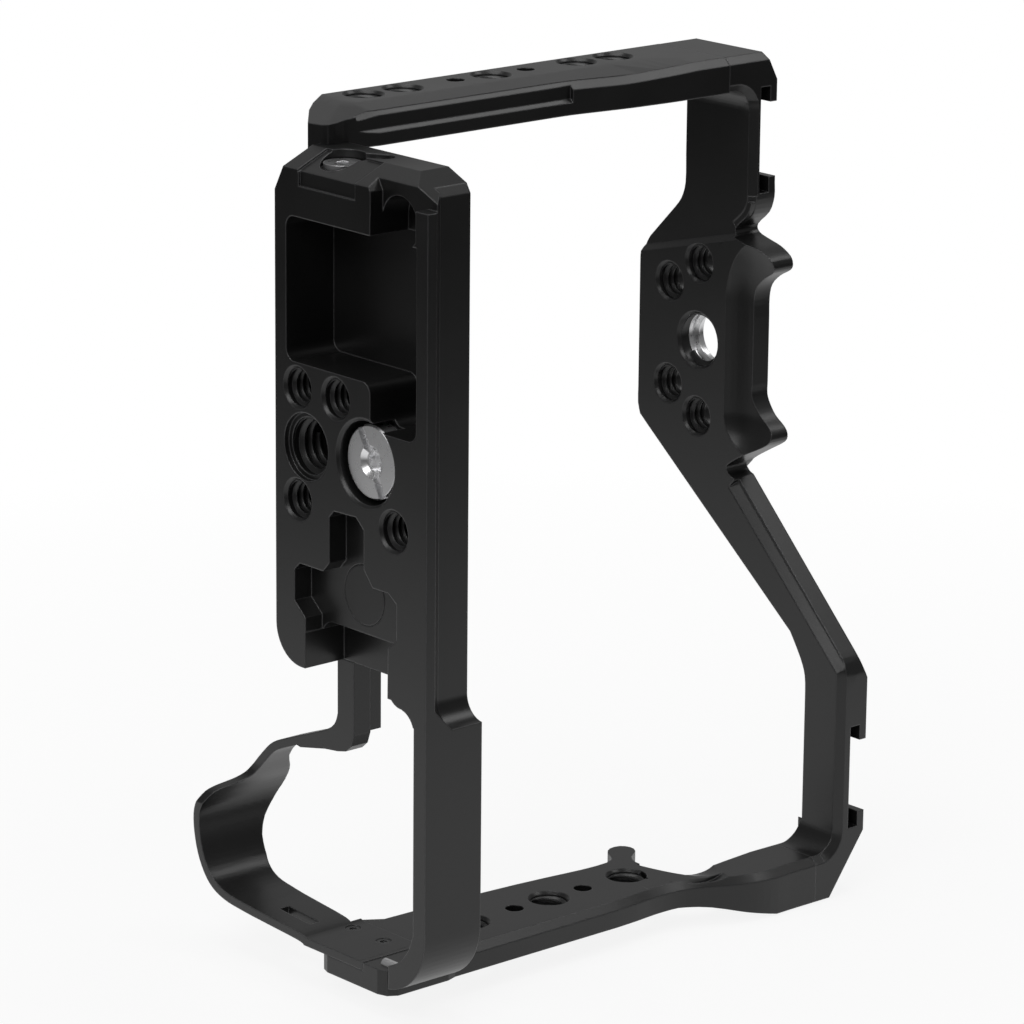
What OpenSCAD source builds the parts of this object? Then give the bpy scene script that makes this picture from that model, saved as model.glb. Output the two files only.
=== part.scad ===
// Full camera cage, standing on its grip side with the base plate upright.
// Axes: x runs from the foot face up through the camera, y towards the lens,
// z along the camera width, away from the grip. Shapes are written with z
// measured from the lens axis and are lifted by lens_h in place().

/* [Base plate] */
// Width over the two dovetail lands
dove_w = 38.2; // [37.8:0.1:38.6]
// Height of the straight dovetail land
land_t = 1.9; // [1.6:0.1:2.2]
// Depth of the sloping dovetail flank on the back side
flank = 3.7; // [3.3:0.1:3.9]
// Thickness of the base plate from foot face to camera face
plate_t = 11.9; // [11.5:0.1:12.6]
// End of the base plate above the lens axis
plate_up = 48.1; // [47.8:0.1:48.6]
// End of the base plate below the lens axis
plate_dn = 37.8; // [37.6:0.1:38]
// Wall of the strip that runs down behind the grip
strip_t = 3; // [2.6:0.1:3.3]

/* [Frame] */
// Distance from foot face to the outside of the top plate
cage_h = 104.8; // [104:0.2:106]
// Thickness of the top plate
top_t = 6.3; // [6:0.1:6.8]
// Outside of the port upright above the lens axis
port_out = 53.1; // [53:0.1:54]
// Lowest face of the grip upright below the lens axis
lens_h = 92.9; // [92.6:0.1:94]
// Thickness of the grip upright beside the grip
grip_t = 4.4; // [4.2:0.1:4.8]
// Height of the elbows of the top plate, outer face to joint
elbow_h = 11.4; // [10.8:0.2:12.2]
// Size of the long edge chamfers on the frame
edge_c = 1.3; // [0.8:0.1:1.5]

/* [Grip wrap] */
// Width of the wrap band along x
wrap_w = 12.6; // [12.2:0.1:13]
// Thickness of the wrap band
wrap_t = 1.5; // [1.3:0.1:1.8]

/* [Threads and pins] */
// Radius of the small tapped holes (1/4 in)
quarter_r = 3.175; // [3.1:0.025:3.2]
// Radius of the large tapped holes (3/8 in)
three_r = 4.763; // [4.7:0.021:4.826]
// Depth of the tapped holes in the base plate
tap_d = 8.6; // [8:0.2:9]
// Radius of the anti-twist pin holes
pin_r = 1.6; // [1.5:0.05:1.7]
// Distance of each pin hole from its tapped hole
pin_pitch = 7.8; // [7.6:0.1:8]

/* [Shoes] */
// Opening between the shoe lips
shoe_gap = 13.2; // [12.6:0.1:13.4]
// Width of the shoe slot under the lips
shoe_w = 18.7; // [18.5:0.1:18.9]
// Depth of the whole shoe in the top plate
shoe_d = 3.8; // [3.6:0.1:4]
// Thickness of the shoe lips
lip_t = 1.5; // [1.4:0.1:1.7]

/* [Camera screw] */
// Radius of the screw head
head_r = 6.2; // [6:0.1:6.4]
// Radius of the counterbore round the head
well_r = 6.95; // [6.9:0.05:7.1]
// Height of the screw head
head_t = 3.2; // [3:0.1:3.6]
// Axial travel of the loose screw
travel = 4.4; // [4:0.1:4.5]
// Thread length that stands above the camera face
stud_l = 5; // [4.5:0.1:5.5]

/* [Hidden] */
$fn = 48;
eps = 0.02;

front_reach = 61.3;                // foremost point of the grip wrap
seam_x = cage_h - elbow_h;         // joint of both uprights with the top plate
size_x = cage_h;
size_y = front_reach;
in_x = cage_h - top_t;             // inner face of the top plate
shoe_x = cage_h - shoe_d;          // floor of the shoes
port_in = port_out - 6.1;          // inner face of the port upright
grip_out = lens_h - 3.6;           // outer face of the slim grip upright
grip_in = grip_out - grip_t;       // inner face of the grip upright
front_y = dove_w - 1.6;            // front wall beside the dovetail
row_y = dove_w - 5.7;              // row of tapped holes near the front edge
big_y = dove_w - 7.9;              // large tapped hole
base_y = dove_w / 2 - 3.8;         // camera screw
screw_z = 0.2;                     // camera screw above the lens axis
seat_x = 5;                        // floor of the head counterbore
clip_r = 4.6;                      // outside of the retaining clip
neck_r = 2.45;                     // neck of the camera screw
ring_x = plate_t - 0.7;            // clip position on the neck
tiny = 0.8;                        // M1.6 shank radius
m2 = 1;                            // M2 shank radius
m25 = 1.25;                        // M2.5 shank radius
clear = 0.05;                      // radial clearance of a shank
snug = 0.02;                       // radial clearance of a fitted pin

steel = [0.72, 0.73, 0.75];
black = [0.16, 0.16, 0.17];

module place() translate([-size_x / 2, -size_y / 2, lens_h]) children();

// Smooth curve through a list of points
function pick(p, i) = p[max(0, min(len(p) - 1, i))];
function spline(p, i, t) = 0.5 * (2 * pick(p, i) + (pick(p, i + 1) - pick(p, i - 1)) * t
    + (2 * pick(p, i - 1) - 5 * pick(p, i) + 4 * pick(p, i + 1) - pick(p, i + 2)) * t * t
    + (3 * pick(p, i) - pick(p, i - 1) - 3 * pick(p, i + 1) + pick(p, i + 2)) * t * t * t);
function smooth(p, n) = concat([for (i = [0 : len(p) - 2]) for (k = [0 : n - 1])
    spline(p, i, k / n)], [p[len(p) - 1]]);

// Extrude a y-z outline along x, an x-y outline along z, an x-z outline along y
module along_x(x0, x1) translate([x0, 0, 0]) rotate([90, 0, 90])
    linear_extrude(x1 - x0) children();
module along_z(z0, z1) translate([0, 0, z0]) linear_extrude(z1 - z0) children();
module along_y(y0, y1) translate([0, y1, 0]) rotate([90, 0, 0])
    linear_extrude(y1 - y0) children();

// Round rods along each axis
module rod_x(x0, x1, y, z, r) translate([x0, y, z]) rotate([0, 90, 0])
    cylinder(h = x1 - x0, r = r);
module rod_y(x, y0, y1, z, r) translate([x, y1, z]) rotate([90, 0, 0])
    cylinder(h = y1 - y0, r = r);
module rod_z(x, y, z0, z1, r) translate([x, y, z0]) cylinder(h = z1 - z0, r = r);

// Tapped hole with a countersunk mouth in a face that looks towards -x
module tap_x(x, y, z, r, d) {
    rod_x(x - eps, x + d, y, z, r);
    translate([x - eps, y, z]) rotate([0, 90, 0]) cylinder(h = 0.5, r1 = r + 0.5, r2 = r);
}

// Through hole with a countersunk mouth in a face that looks towards +z
module tap_up(x, y, z, r, d) {
    rod_z(x, y, z - d, z + eps, r);
    translate([x, y, z - 0.5 + eps]) cylinder(h = 0.5, r1 = r, r2 = r + 0.5);
}

// Screw with a cylinder head below z = 0 and its shank along +z
module cap_screw(r, l, hr, hh, $fn = 28) {
    difference() {
        union() {
            cylinder(h = l, r = r);
            translate([0, 0, -hh]) cylinder(h = hh, r = hr);
        }
        translate([0, 0, -hh - eps]) cylinder(h = hh * 0.6, r = r * 0.9, $fn = 6);
    }
}

// ---- Base plate with dovetail, tool pocket and the strip behind the grip ----
cut_y = 2.2;                       // front corner cut at the port end
cut_z = 2.7;
ramp_x = 6.1;                      // the port end slopes down to the foot face
ramp_z = 2.7;
corner_r = 6.5;                    // rounded front corner at the grip end
scoop_r = 4;                       // cutter radius at the end of the back dovetail
bend_z = -76.8;
bend_r = 11;
bend_end = 9.2;
magnet_y = 19.7;
magnet_z = -23.4;
magnet_r = 5.05;
magnet_x = 3.6;                    // floor of the shallow tool pocket
deep_x = 8.3;                      // floor of the deep tool pocket
end_x = 5.4;
end_y = 27.4;
end_floor = plate_up - 2.4;
pin_x = end_x + 1.9;               // short pin in the slot of the end pocket
pin_y = end_y - 4.5;
foot_x = 9.4;
foot_z = 42.4;
foot_y = 40.4;
arm_y = 30.3;
arm_zs = [-36.2, -46.2];
strip_xs = [2.9, 9.1];
strip_cz = -grip_in - 0.2;
pocket_x = 10;                     // floor of the big pocket
pocket_y = dove_w - 2.8;           // front wall of the big pocket

module base_outline() {
    difference() {
        translate([0, -plate_dn]) square([dove_w, plate_up + plate_dn]);
        polygon([[dove_w - cut_y, plate_up + eps], [dove_w - cut_y, plate_up - cut_z],
                 [dove_w, plate_up - 6.8], [dove_w + 1, plate_up + eps]]);
        translate([dove_w - corner_r, -plate_dn - eps]) difference() {
            square([corner_r + 0.1, corner_r]);
            translate([0, corner_r + eps]) circle(r = corner_r, $fn = 64);
        }
    }
}

// Outline of the big pocket on the foot face: wide part and narrow part
module pocket_plan() {
    translate([14.2, 13.6]) square([pocket_y - 16.2, 24]);
    translate([14.2, 15.6]) square([pocket_y - 14.2, 20]);
    // rounded corner between the wide and the narrow part
    difference() {
        translate([14, 11.6]) square([2.1, 2.1]);
        translate([16.1, 11.6]) circle(r = 2);
    }
    translate([pocket_y - 2, 35.6]) circle(r = 2);
    translate([pocket_y - 2, 15.6]) circle(r = 2);
    translate([2.7, 13.6]) square([13, 24]);
    translate([2.7, 8]) square([11.4, 7]);
    translate([4.7, 6]) square([7.4, 4]);
    translate([4.7, 8]) circle(r = 2);
    translate([12.1, 8]) circle(r = 2);
}

module big_pocket() {
    // the back wall leans so that it stays inside the dovetail flank
    intersection() {
        along_x(-eps, pocket_x) pocket_plan();
        along_z(0, 40) polygon([[-1, 2.7], [0, 2.7], [3.4, flank + 1.9],
            [11, flank + 1.9], [11, dove_w], [-1, dove_w]]);
    }
    // open notch at the port end
    along_x(-eps, 2.6) polygon([[3, 38.4], [3, 43.4], [-1, 43.4], [-1, 60], [15.2, 60],
        [15.2, plate_up - 1.6], [14.1, plate_up - 3.4], [14.1, 38.4], [13.3, 37.4], [4, 37.4]]);
    // arch in the floor of the notch
    along_x(-eps, 8) {
        translate([5.7, 34]) square([8.5, 6.2]);
        translate([9.95, 40.2]) circle(r = 4.25);
    }
}

module tool_pocket() {
    along_x(-eps, magnet_x) polygon([[24.4, -10.6], [23.2, -9.4], [17.6, -9.2],
        [15.6, -11], [15.6, -17.5], [13.4, -20.1], [9.5, -20.1], [7.4, -21.5],
        [7.4, -27.5], [9.5, -29.3], [9.6, -40], [30.7, -40], [30.6, -29.1],
        [33.4, -26.7], [33.4, -21.4], [32, -20.1], [26, -20.1], [24.4, -18.4]]);
    along_x(-eps, deep_x) {
        translate([13, -45]) square([17.7, 13.4]);
        translate([9.6, -45]) square([18, 15.1]);
        translate([27.6, -33]) circle(r = 3.1);
    }
}

module strip() {
    difference() {
        union() {
            along_x(0, plate_t) {
                translate([0, bend_z]) square([strip_t, -bend_z - plate_dn + 1]);
                translate([0, -plate_dn - 3.4]) square([9.2, 3.5]);
            }
            along_x(0, plate_t) intersection() {
                translate([bend_r, bend_z]) circle(r = bend_r, $fn = 96);
                translate([0, bend_z - bend_r - 1]) square([bend_end, bend_r + 1 + eps]);
            }
        }
        // round the wide root off into the narrow strip, and the inside of the bend
        along_x(-1, plate_t + 1) {
            difference() {
                translate([6, -plate_dn - 5]) square([6, 5]);
                translate([6.2, -plate_dn + 2.6]) circle(r = 3.6, $fn = 64);
            }
            translate([strip_t + 3.6, -plate_dn - 4.6]) circle(r = 3.6, $fn = 64);
            translate([12, -75]) circle(r = 9, $fn = 96);
            translate([strip_t, -75]) square([9, 75 - plate_dn - 4.6]);
        }
    }
}

// Section of the back dovetail cut
module dove_cut() polygon([[land_t, -1], [land_t, 0], [land_t + flank, flank],
                           [plate_t + 1, flank], [plate_t + 1, -1]]);

module base_plate() color(black) {
    difference() {
        union() {
            along_x(0, plate_t) base_outline();
            strip();
        }
        along_z(-plate_dn, plate_up + 1) dove_cut();
        translate([land_t, flank - scoop_r, -plate_dn]) rotate([0, 90, 0]) {
            cylinder(h = flank, r1 = scoop_r - flank, r2 = scoop_r);
            translate([0, 0, flank - eps]) cylinder(h = 20, r = scoop_r);
        }
        // front dovetail
        along_z(-plate_dn + 7, plate_up - 16) polygon([[land_t, dove_w + 0.1],
            [land_t + 1.6, front_y], [plate_t - 3, front_y], [plate_t - 3, dove_w + 0.1]]);
        // sloping corner at the back of the port end
        along_x(2.5, plate_t + 1) polygon([[-2, 43.35], [3.7, plate_up - 2.3],
            [9.1, plate_up + eps], [9.1, 60], [-2, 60]]);
        // narrow bevel between that slope and the back
        along_x(5.2, plate_t + 1) polygon([[3, 44.1], [3.7, 44.7], [4.9, plate_up - 1.5],
                                           [3, plate_up]]);
        // slope of the port end
        along_y(-1, dove_w + 1) polygon([[-ramp_x, plate_up - 2 * ramp_z],
            [ramp_x, plate_up], [ramp_x, plate_up + 1], [-ramp_x, plate_up + 1]]);
        // shallow channel across the end
        along_x(-eps, 0.4) translate([17.9, plate_up - 5.4]) square([14.2, 6]);
        translate([0, 17.9, plate_up - ramp_z]) rotate([0, -atan(ramp_z / ramp_x), 0])
            translate([-1, 0, -0.35]) cube([7.6, 14.4, 3]);
        big_pocket();
        tool_pocket();
        // tapped holes of the foot face
        for (p = [[row_y, 9.4, 0], [22.8, 9.4, 0.6], [row_y, -9.4, 1], [8.2, -9.6, 1.4]])
            tap_x(0, p[0], p[1], quarter_r, tap_d - p[2]);
        tap_x(0, big_y, -0.1, three_r, tap_d - 1.8);
        rod_x(-eps, 1, big_y, -0.1, three_r + 0.9);
        // counterbore, neck hole and clip room of the camera screw
        rod_x(-eps, seat_x, base_y, screw_z, well_r);
        rod_x(0, plate_t + 1, base_y, screw_z, quarter_r + 0.35);
        rod_x(ring_x - travel - 0.4, plate_t + 1, base_y, screw_z, clip_r + 0.6);
        translate([-eps, base_y, screw_z]) rotate([0, 90, 0])
            cylinder(h = 0.5, r1 = well_r + 0.5, r2 = well_r);
        // magnet seat
        rod_x(0, magnet_x + 2, magnet_y, magnet_z, magnet_r + clear);
        // end pocket: round seat of the end screw with a short slot beside it
        rod_z(end_x, end_y, end_floor, plate_up + 1, 3.7);
        rod_z(end_x + 3.4, end_y - 6.2, end_floor + 0.6, plate_up + 1, 1.8);
        translate([end_x, end_y, end_floor + 0.6]) rotate([0, 0, -61.3])
            translate([0, -1.8, 0]) cube([7.07, 3.6, 4]);
        rod_z(pin_x, pin_y, end_floor - 4, plate_up, 1.3 + snug);
        rod_z(end_x, end_y, end_floor - 7, plate_up, m25 + snug);
        // screw of the port upright, screws of the lug, pins of the strip
        rod_y(foot_x, 28.6, dove_w + 1, foot_z, m25 + snug);
        rod_x(9.5, plate_t + 1, arm_y, arm_zs[0], m2 + snug);
        for (x = strip_xs) rod_y(x, 6.2, 12, strip_cz, m2 + snug);
    }
}

// ---- Port upright: the bar on the side away from the grip ----
port_l = 7.6;                      // outer end beside the foot face
back_l = 32.7;                     // back face
back_r = 30.3;                     // back face beside the port shoe
front_p = 48.4;                    // front face
hole_y = 44.4;                     // hole line
port_mid = (plate_t + seam_x) / 2 - 1.3;
port_cz = port_in + 2.9;
port_ys = [34.6, 44.6];
port_dy = 39.6;
foot_end = 38;                     // lower end of the foot
port_end = [port_l + 8.6, 41.1, port_out];

module port_plan() polygon(concat([[port_l, 35.4], [port_l + 0.4, 34.4],
    [port_l + 1.6, 34], [11, 34], [12.6, 33.5], [15, 33], [17.5, back_l]],
    smooth([[seam_x - 40, back_l], [seam_x - 34.4, back_l - 0.1], [seam_x - 29, 31.9],
            [seam_x - 22.4, 31], [seam_x - 17, 30.6], [seam_x - 11.4, back_r],
            [seam_x, back_r]], 3),
    [[seam_x, 48.2], [18.2, front_p], [14.6, 46.4], [plate_t, 44.1], [port_l, 39.1]]));

module port_upright() color(black) {
    difference() {
        union() {
            along_z(port_in, port_out) port_plan();
            // foot in front of the base plate corner
            along_z(foot_end, port_in + 1) polygon([[port_l, 34], [plate_t, 34],
                [plate_t, 44.1], [port_l, 39.1]]);
        }
        // room for the corner of the base plate
        along_x(-1, plate_t + snug) polygon([[20, 20], [dove_w + snug, 20],
            [dove_w + snug, plate_up - 6.8], [dove_w - cut_y + snug, plate_up - cut_z + snug],
            [dove_w - cut_y + snug, plate_up + snug], [20, plate_up + snug]]);
        // two sloping facets at the outer end, each turned to its uphill side
        for (f = [[-12.8, 14.7], [20.6, 9.7]])
            translate(port_end) rotate([0, 0, f[0]]) rotate([0, -f[1], 0])
                translate([-30, -30, 0]) cube([30 + eps, 60, 10]);
        // outer face falls a little towards the back edge
        along_x(16, seam_x - 20) polygon([[back_l - 3, port_out - 0.75],
            [39.2, port_out], [39.2, port_out + 1], [back_l - 3, port_out + 1]]);
        // back face stands a little deeper than the lip along its inner edge
        along_x(13, seam_x - 34) polygon([[back_l - 1, port_in + 2], [back_l, port_in + 2.1],
            [back_l + 0.6, port_in + 2.7], [back_l + 0.6, port_out + 1], [back_l - 1, port_out + 1]]);
        // tapped accessory holes with pin holes at the middle one
        for (s = [-27.7, -19.3, 0, 19.3, 27.7])
            tap_up(port_mid + s, hole_y, port_out, quarter_r, 8);
        for (s = [-1, 1])
            rod_z(port_mid + s * pin_pitch, hole_y, port_out - 3, port_out + 1, pin_r);
        // screw into the base plate, joint with the top plate
        rod_y(foot_x, 30, 50, foot_z, m25 + clear);
        rod_y(foot_x, foot_y, 50, foot_z, 2.35);
        for (y = port_ys) rod_x(seam_x - 12, seam_x + 1, y, port_cz, m25 + snug);
        rod_x(seam_x - 6, seam_x + 1, port_dy, port_cz, m2 + snug);
    }
}

// Chamfer between the back face at y and the outer face of the port side
module back_chamfer(y) polygon([[y - 1, port_out - edge_c - 1], [y, port_out - edge_c],
    [y + edge_c, port_out], [y + edge_c, port_out + 1], [y - 1, port_out + 1]]);

// ---- Grip upright: slim beside the grip, waisted, thick at the top plate ----
grip_mid = seam_x / 2 - 2.6;
grip_step = 17.9;                  // spacing of the tapped holes
grip_hy = 19.3;
grip_back = 4.3;                   // back face beside the grip shoe
slim_back = 9.8;                   // back face beside the grip
wrap_seat = -grip_in - 1.4;
wrap_x = 9;
wrap_ys = [21.2, 29.2];
grip_cz = -lens_h + 4;
grip_ys = [6.9, 11.9];
grip_dy = 9.4;

module grip_plan() polygon(concat([[0, 12], [0.6, 10.2], [2.2, 9.2], [13, 9.2],
    [15, slim_back]],
    smooth([[seam_x - 42, slim_back], [seam_x - 37.4, 10], [seam_x - 32.4, 10.4],
            [seam_x - 27.4, 10.2], [seam_x - 23.4, 9], [seam_x - 19.4, 6.9],
            [seam_x - 15.4, 5.1], [seam_x - 11, grip_back], [seam_x - 6, grip_back]], 3),
    [[seam_x, grip_back], [seam_x, 14.2]],
    smooth([[seam_x - 6.4, 14.3], [seam_x - 13.4, 13.7], [seam_x - 17.4, 13.4],
            [seam_x - 20.8, 14.3], [seam_x - 23.4, 16.6], [seam_x - 25.2, 20],
            [seam_x - 25.5, 23.4], [seam_x - 24, 26], [seam_x - 21.6, 27.6],
            [seam_x - 20.9, 29.6], [seam_x - 22, 31.3], [seam_x - 24.2, 31.4],
            [seam_x - 26, 30], [seam_x - 27.2, 27.6], [seam_x - 29.6, 26.3],
            [seam_x - 35.4, 26.4], [seam_x - 43.4, 27.4], [37, 28.6], [16, 29.4]], 2),
    [[13, 31.4], [5, 31.4], [2, 27.6], [0.6, 26.6], [0, 25]]));

module grip_upright() color(black) {
    difference() {
        union() {
            along_z(-grip_out, -grip_in) grip_plan();
            along_z(-lens_h, -grip_in) intersection() {
                grip_plan();
                translate([seam_x - 27.4, 0]) square([27.4, 20]);
            }
        }
        // underside: blend from slim to thick
        along_y(-1, 40) polygon(concat([[50, -grip_out - 9]],
            smooth([[seam_x - 27.5, -grip_out], [seam_x - 21.4, -grip_out - 0.7],
                    [seam_x - 15.4, -grip_out - 2.2], [seam_x - 9.4, -lens_h - 0.01]], 3),
            [[seam_x - 9.4, -grip_out - 9]]));
        // hollow on the front inner side of the waist
        translate([seam_x - 22.8, 15, -grip_in + 7.4]) rotate([78, 0, 20])
            cylinder(h = 15, r = 9.2, center = true, $fn = 96);
        // chamfers on the back inner edge
        along_x(14.6, seam_x - 31) inner_chamfer(slim_back);
        along_x(seam_x - 12, seam_x + 1) inner_chamfer(grip_back);
        // rebate for the wrap band
        along_x(-1, wrap_w) polygon([[17, -grip_in + 1], [15.6, -grip_in - 0.01],
            [15.6, wrap_seat], [40, wrap_seat], [40, -grip_in + 1]]);
        // tapped holes and pin holes
        for (i = [-1 : 1])
            tap_up(grip_mid + i * grip_step, grip_hy, -grip_in, quarter_r, 9);
        for (s = [-1, 1])
            rod_z(grip_mid + s * pin_pitch, grip_hy, -lens_h - 1, -grip_in + 1, pin_r);
        // screws of the wrap, pins of the strip, joint with the top plate
        for (y = wrap_ys) rod_z(wrap_x, y, -lens_h - 1, -grip_in, tiny + snug);
        for (x = strip_xs) rod_y(x, 8, 13.6, strip_cz, m2 + snug);
        for (y = grip_ys) rod_x(seam_x - 12, seam_x + 1, y, grip_cz, m25 + snug);
        rod_x(seam_x - 6, seam_x + 1, grip_dy, grip_cz, m2 + snug);
    }
}

// Chamfer between the back face at y and the inner face of the grip side
module inner_chamfer(y) polygon([[y - 1, -grip_in - edge_c - 1], [y, -grip_in - edge_c],
    [y + edge_c, -grip_in], [y + edge_c, -grip_in + 1], [y - 1, -grip_in + 1]]);

// ---- Top plate with two shoes, the drilled pad, two ears and the diagonal arm ----
arm_end = 13.3;
arm_tilt = -45.4;
shoe_p = 37.8;
shoe_g = -71.7;
port_hx = cage_h - 5.4;
grip_hx = cage_h - 8.6;
neck_x = in_x + 0.9;               // inner face of the neck towards the port side
elbow_r = 4;                       // fillets of the elbows
core_y = 42.5;
core_z = 0.4;
core_d = 2.5;                      // depth of the sleeve below the inner face
core_r = three_r + 0.85;           // outside of the thread sleeve
pad_z = 0.5;                       // middle of the pad hole pattern
pad_holes = [[49.9, 9.3], [42.4, 13.9]];

module top_outline() polygon(concat([[back_r, port_out]],
    smooth([[back_r, 30], [back_r, 27.4], [31.4, 24.6], [34.2, 22], [33.8, 20.6],
            [31.4, 19.8], [28.4, 19], [26, 17.7], [25.3, 16.4], [25.8, 15.2], [28.4, 13.7],
            [30.3, 11.8], [30.9, 9.4], [30.9, 6]], 3),
    smooth([[30.9, -6], [30.9, -8], [30.2, -9.6], [28.7, -11.5], [26.4, -13.1],
            [25.6, -14.4], [26.2, -15.8], [29.6, -17.8], [33, -19.8], [34.4, -21],
            [34, -22.2], [32.6, -22.8]], 3),
    smooth([[7, -48.5], [5, -50.7], [grip_back, -53]], 3),
    [[grip_back, -lens_h], [arm_end, -lens_h]],
    smooth([[arm_end, -58], [arm_end + 0.2, -54.6], [arm_end + 1.4, -51.6],
            [arm_end + 4.1, -47.4]], 3),
    [[54.8, -17.6]], smooth([[57, -15.8], [57.6, -13.8], [57.6, -11]], 2),
    smooth([[57.6, 12], [57.4, 14.6], [56, 16.9]], 2),
    smooth([[50, 22.9], [48.2, 25], [47.2, 28],
            [47.2, port_out - 20]], 3),
    smooth([[47.2, port_out - 11], [47.3, port_out - 7.5], [48.1, port_out - 4.9],
            [48.1, port_out - 3]], 2), [[48.1, port_out]]));

// Shoe slot with its lips, open at both ends
module shoe(y0, y1, z) {
    along_y(y0, y1) translate([shoe_x, z - shoe_w / 2])
        square([shoe_d - lip_t, shoe_w]);
    along_y(y0, y1) translate([shoe_x, z - shoe_gap / 2]) square([9, shoe_gap]);
}

// Scoop along the back edge between the ears: a turned barrel with rounded ends
module barrel(r, lo, hi, r_lo, r_hi) rotate_extrude() {
    translate([0, lo]) square([r, hi - lo]);
    intersection() {
        translate([r - r_hi, hi]) circle(r = r_hi);
        translate([0, hi - eps]) square([r, 11]);
    }
    intersection() {
        translate([r - r_lo, lo]) circle(r = r_lo);
        translate([0, lo - 8]) square([r, 8 + eps]);
    }
}

module back_scoop() translate([in_x - 9, 27.5, 0]) barrel(12, -11, 9, 10.5, 24);

// Rounded inner corner: fills between a plate face at x and an upright face at z
module elbow_fill(x, z, side) translate([x - elbow_r, z - side * elbow_r]) difference() {
    translate([0, side < 0 ? -elbow_r : 0]) square([elbow_r + 0.1, elbow_r]);
    circle(r = elbow_r);
}

module top_plate() color(black) {
    difference() {
        union() {
            difference() {
                along_x(in_x, cage_h) top_outline();
                // the neck towards the port side is thinner than the pad
                along_x(in_x - eps, neck_x) polygon([[60, 14.4], [34.4, 20.9],
                    [34.4, 22.4], [32.6, 24.4], [32.2, port_in], [60, port_in]]);
            }
            // port elbow
            along_y(back_r, 48.1) {
                translate([seam_x + snug, port_in])
                    square([in_x + 1 - seam_x, port_out - port_in]);
                elbow_fill(neck_x, port_in, 1);
            }
            // grip elbow
            along_y(grip_back, arm_end + 0.9) {
                translate([seam_x + snug, -lens_h])
                    square([in_x + 1 - seam_x, lens_h - grip_in]);
                elbow_fill(in_x, -grip_in, -1);
            }
        }
        back_scoop();
        // outer corners
        along_y(0, 60) polygon([[cage_h - 2.6, port_out + 0.01], [cage_h + 0.01, 48.2],
                                [cage_h + 1, 60], [cage_h - 2.6, 60]]);
        along_y(0, 60) polygon([[cage_h - 8, -lens_h - 0.01], [cage_h + 0.01, -lens_h + 10.9],
                                [cage_h + 1, -lens_h - 7], [cage_h - 8, -lens_h - 7]]);
        // chamfers on the back inner edges
        along_z(27, port_in - 2) polygon([[in_x - 5, back_r - 1], [neck_x + 1, back_r - 1],
            [neck_x + 1, back_r], [neck_x - 0.2, back_r + 1.3], [in_x - 5, back_r + 1.3]]);
        along_z(-grip_in + 4, -52) polygon([[in_x - 1, grip_back + edge_c],
            [in_x, grip_back + edge_c], [in_x + edge_c, grip_back],
            [in_x + edge_c, 3], [in_x - 1, 3]]);
        // diagonal arm: bevels on both long back edges
        translate([in_x, 34.4, -22.4]) rotate([arm_tilt, 0, 0]) translate([0, -1, -46])
            linear_extrude(44) polygon([[-1, -1], [edge_c, -1], [edge_c, 0.6],
                                        [0, 0.9 + edge_c], [-1, 0.9 + edge_c]]);
        translate([cage_h, 34.4, -22.4]) rotate([arm_tilt, 0, 0]) translate([0, -1, -44])
            linear_extrude(45) polygon([[1, -1], [-edge_c, -1], [-edge_c, 0.4],
                                        [0, 1 + edge_c], [1, 1 + edge_c]]);
        // chamfers of the elbows in line with the uprights
        along_x(seam_x - 1, cage_h + 1) back_chamfer(back_r);
        along_x(seam_x - 1, in_x - 3) inner_chamfer(grip_back);
        // shoes
        shoe(back_r - 1, 43, shoe_p);
        shoe(3, arm_end - 1.6, shoe_g);
        // pad holes
        for (p = pad_holes) for (s = [-1, 1])
            tap_x(in_x, p[0], pad_z + s * p[1], quarter_r, top_t + 1);
        tap_x(in_x, core_y, core_z, three_r, top_t + 1);
        rod_x(in_x + core_d, cage_h + 1, core_y, core_z, core_r + snug);
        // joint screws and dowels
        for (y = port_ys) {
            rod_x(seam_x - 1, cage_h + 1, y, port_cz, m25 + clear);
            rod_x(port_hx, cage_h + 4, y, port_cz, 2.35);
        }
        rod_x(seam_x - 1, seam_x + 3.5, port_dy, port_cz, m2 + snug);
        for (y = grip_ys) {
            rod_x(seam_x - 1, cage_h + 1, y, grip_cz, m25 + clear);
            rod_x(grip_hx, cage_h + 4, y, grip_cz, 2.35);
        }
        rod_x(seam_x - 1, seam_x + 2.6, grip_dy, grip_cz, m2 + snug);
    }
}

// ---- Wrap band round the grip: outer contour, smoothed through these points ----
arm_front = 32.4;                  // front face of the front arm
function out(k) = arm_front + k * (front_reach - arm_front);
band_pts = [[arm_front, -44], [arm_front, -47.6], [out(0.055), -50.4], [out(0.239), -52.8],
    [out(0.436), -55], [out(0.595), -57], [out(0.702), -59.7], [out(0.817), -63.3],
    [out(0.92), -66.6], [out(0.986), -70], [out(0.986), -74.2], [out(0.938), -78.8],
    [out(0.844), -82.4], [out(0.706), -84.2], [out(0.505), -84.9], [out(0.298), -85.3],
    [33, -85.8], [30.2, wrap_seat + eps], [24, wrap_seat + eps], [16.6, wrap_seat + eps]];
band_out = smooth(band_pts, 4);
band_c = len(band_out) - 1;
function unit(v) = v / norm(v);
function run(i) = unit(band_out[min(band_c, i + 1)] - band_out[max(0, i - 1)]);
function inner(i) = band_out[i] + wrap_t * [run(i)[1], -run(i)[0]];

module band_outline() intersection() {
    polygon(concat([for (i = [0 : band_c]) band_out[i]],
                   [for (i = [band_c : -1 : 0]) inner(i)]));
    translate([0, wrap_seat + eps]) square([front_reach, 60]);
}

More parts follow.
